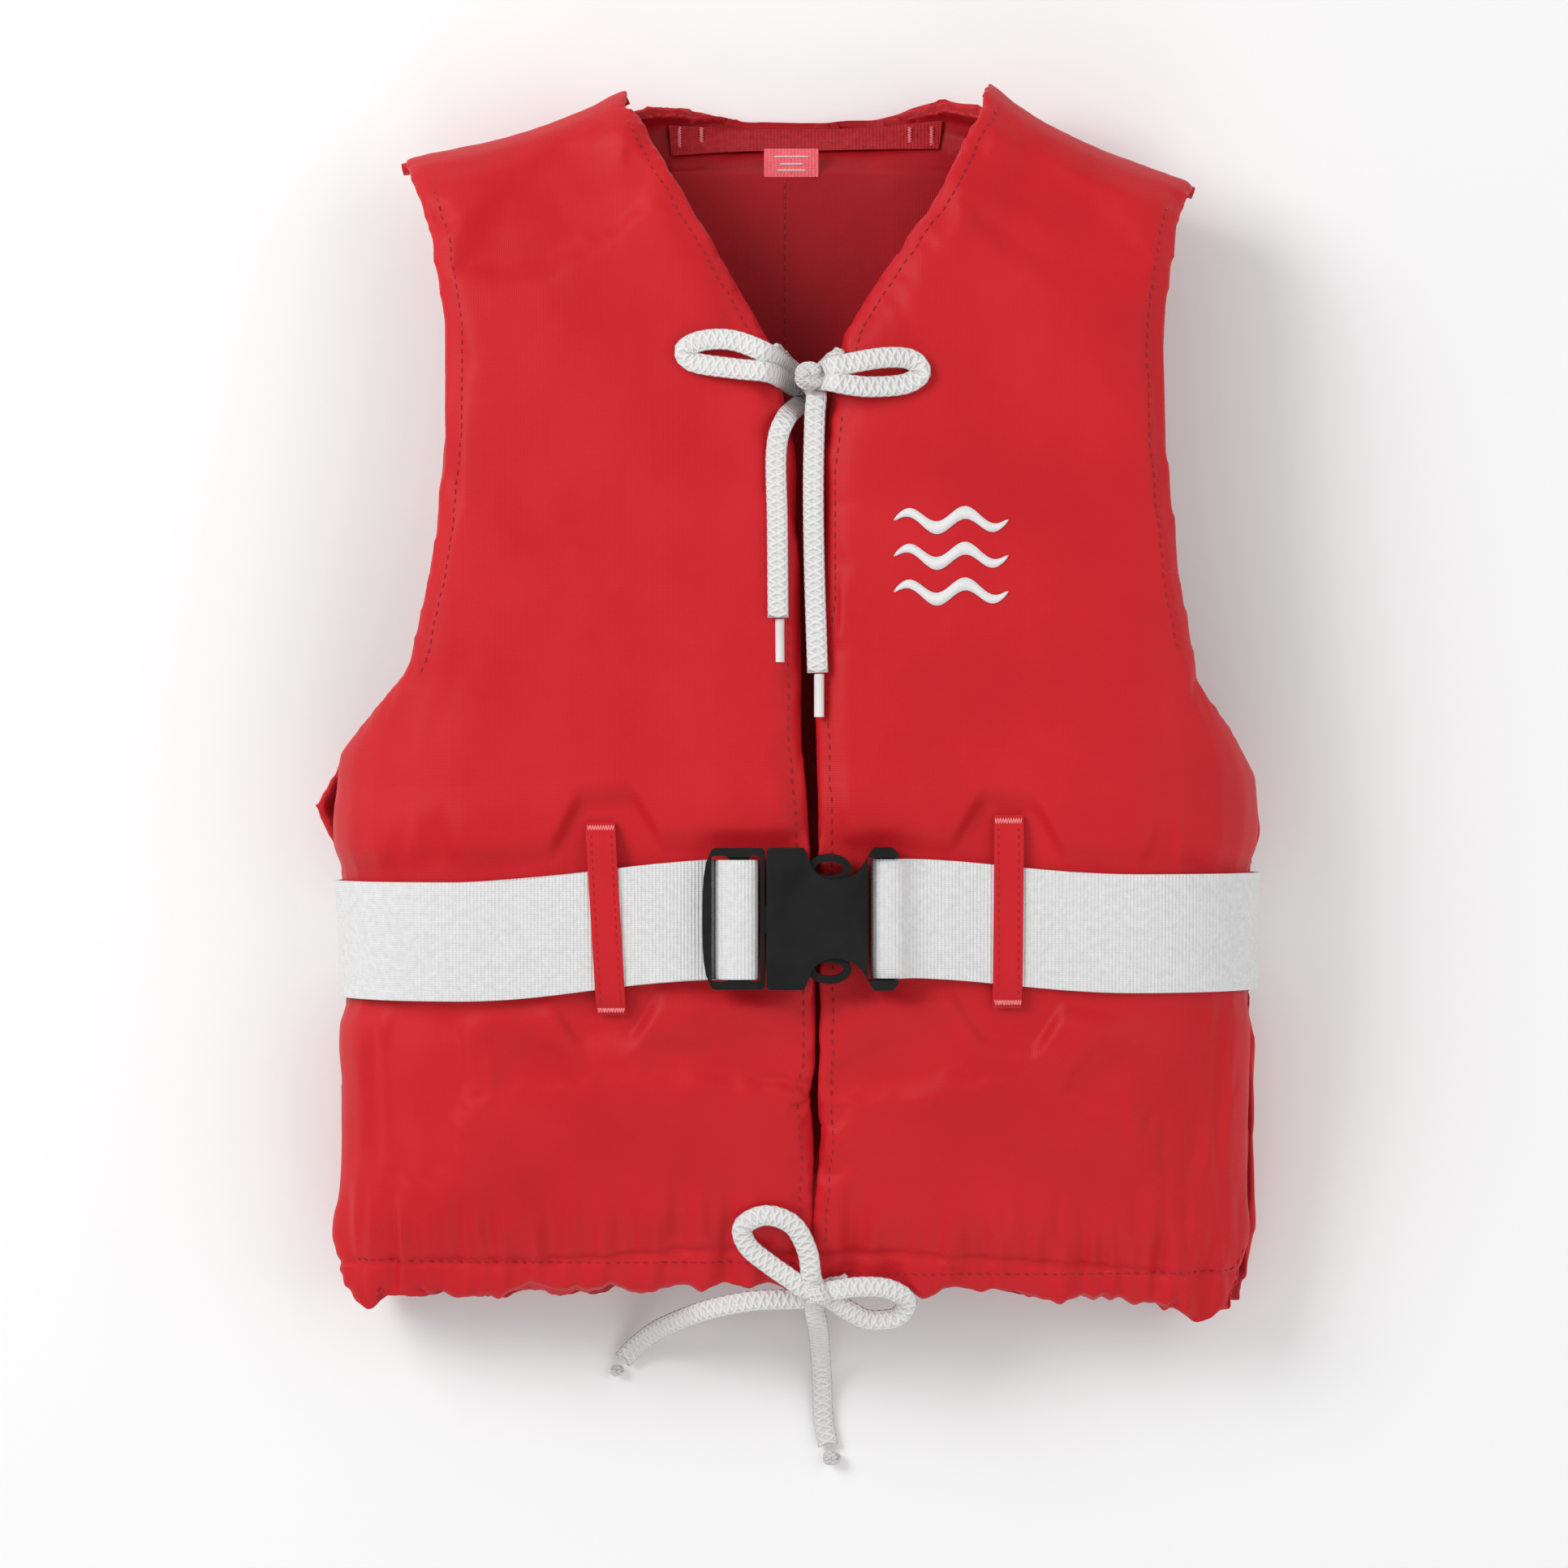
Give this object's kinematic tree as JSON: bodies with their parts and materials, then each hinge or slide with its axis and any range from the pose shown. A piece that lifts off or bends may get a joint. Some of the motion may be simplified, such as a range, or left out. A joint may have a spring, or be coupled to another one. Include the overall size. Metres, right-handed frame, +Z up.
{
  "type": "life jacket",
  "caption": "Foam vest life jacket with two front panels, a webbing waist belt, a side-release buckle and tie cords at the neck and hem.",
  "frame": {"origin": "On the floor under the middle of the jacket without its cords: the jacket lies on its back.", "axes": "+X to the wearer's left, +Y towards the neck, +Z up through the front."},
  "size_m": [0.4074, 0.6018, 0.1072],
  "materials": {
    "red_nylon": "smooth coated nylon, slight sheen",
    "red_lining": "matt nylon",
    "grey_foam": "closed-cell foam",
    "white_webbing": "ribbed webbing",
    "red_webbing": "ribbed tape",
    "label_cloth": "woven tape",
    "white_cord": "flat braid",
    "black_plastic": "satin acetal",
    "clear_tip": "heat-shrunk film"
  },
  "bodies": {
    "jacket": {"back_foam": "grey_foam", "back_lining": "red_lining", "back_outer_shell": "red_nylon", "belt_front_right": "white_webbing", "belt_loop_back_left": "red_webbing", "belt_loop_back_right": "red_webbing", "belt_loop_front_left": "red_webbing", "belt_loop_front_right": "red_webbing", "belt_webbing": "white_webbing", "buckle_male_frame": "black_plastic", "front_left_foam": "grey_foam", "front_left_lining": "red_lining", "front_left_outer_shell": "red_nylon", "front_right_foam": "grey_foam", "front_right_lining": "red_lining", "front_right_outer_shell": "red_nylon", "hem_channel_back": "red_nylon", "hem_channel_front_left": "red_nylon", "hem_channel_front_right": "red_nylon", "hem_cord_left_exit": "white_cord", "hem_cord_left_loop": "white_cord", "hem_cord_left_tail": "white_cord", "hem_cord_right_exit": "white_cord", "hem_cord_right_loop": "white_cord", "hem_cord_right_tail": "white_cord", "hem_end_knot_left": "white_cord", "hem_end_knot_right": "white_cord", "hem_knot": "white_cord", "neck_aglet_left": "clear_tip", "neck_aglet_right": "clear_tip", "neck_cord_left_exit": "white_cord", "neck_cord_left_loop": "white_cord", "neck_cord_left_tail": "white_cord", "neck_cord_right_exit": "white_cord", "neck_cord_right_loop": "white_cord", "neck_cord_right_tail": "white_cord", "neck_knot": "white_cord", "neck_strap": "red_webbing"},
    "buckle_female": {"buckle_female": "black_plastic"},
    "prong_upper": {"buckle_prong_upper": "black_plastic"},
    "prong_lower": {"buckle_prong_lower": "black_plastic"},
    "label": {"size_label": "label_cloth"}
  },
  "joints": [
    {"name": "buckle_release", "type": "slide", "parent": "jacket", "child": "buckle_female", "axis": [1, 0, 0], "range_m": [0, 0.036], "deforming": ["belt_front_right"]},
    {"name": "prong_upper_squeeze", "type": "hinge", "parent": "jacket", "child": "prong_upper", "pos_m": [-0.00573, -0.07595, 0.1007], "axis": [0, 0, -1], "range_deg": [0, 8], "stiffness_Nm_per_rad": 0.3},
    {"name": "prong_lower_squeeze", "type": "hinge", "parent": "jacket", "child": "prong_lower", "pos_m": [-0.00573, -0.10995, 0.1007], "axis": [0, 0, 1], "range_deg": [0, 8], "stiffness_Nm_per_rad": 0.3},
    {"name": "label_flip", "type": "hinge", "parent": "jacket", "child": "label", "pos_m": [0.00117, 0.24025, 0.0228], "axis": [-1, 0, 0], "range_deg": [0, 100]}
  ]
}
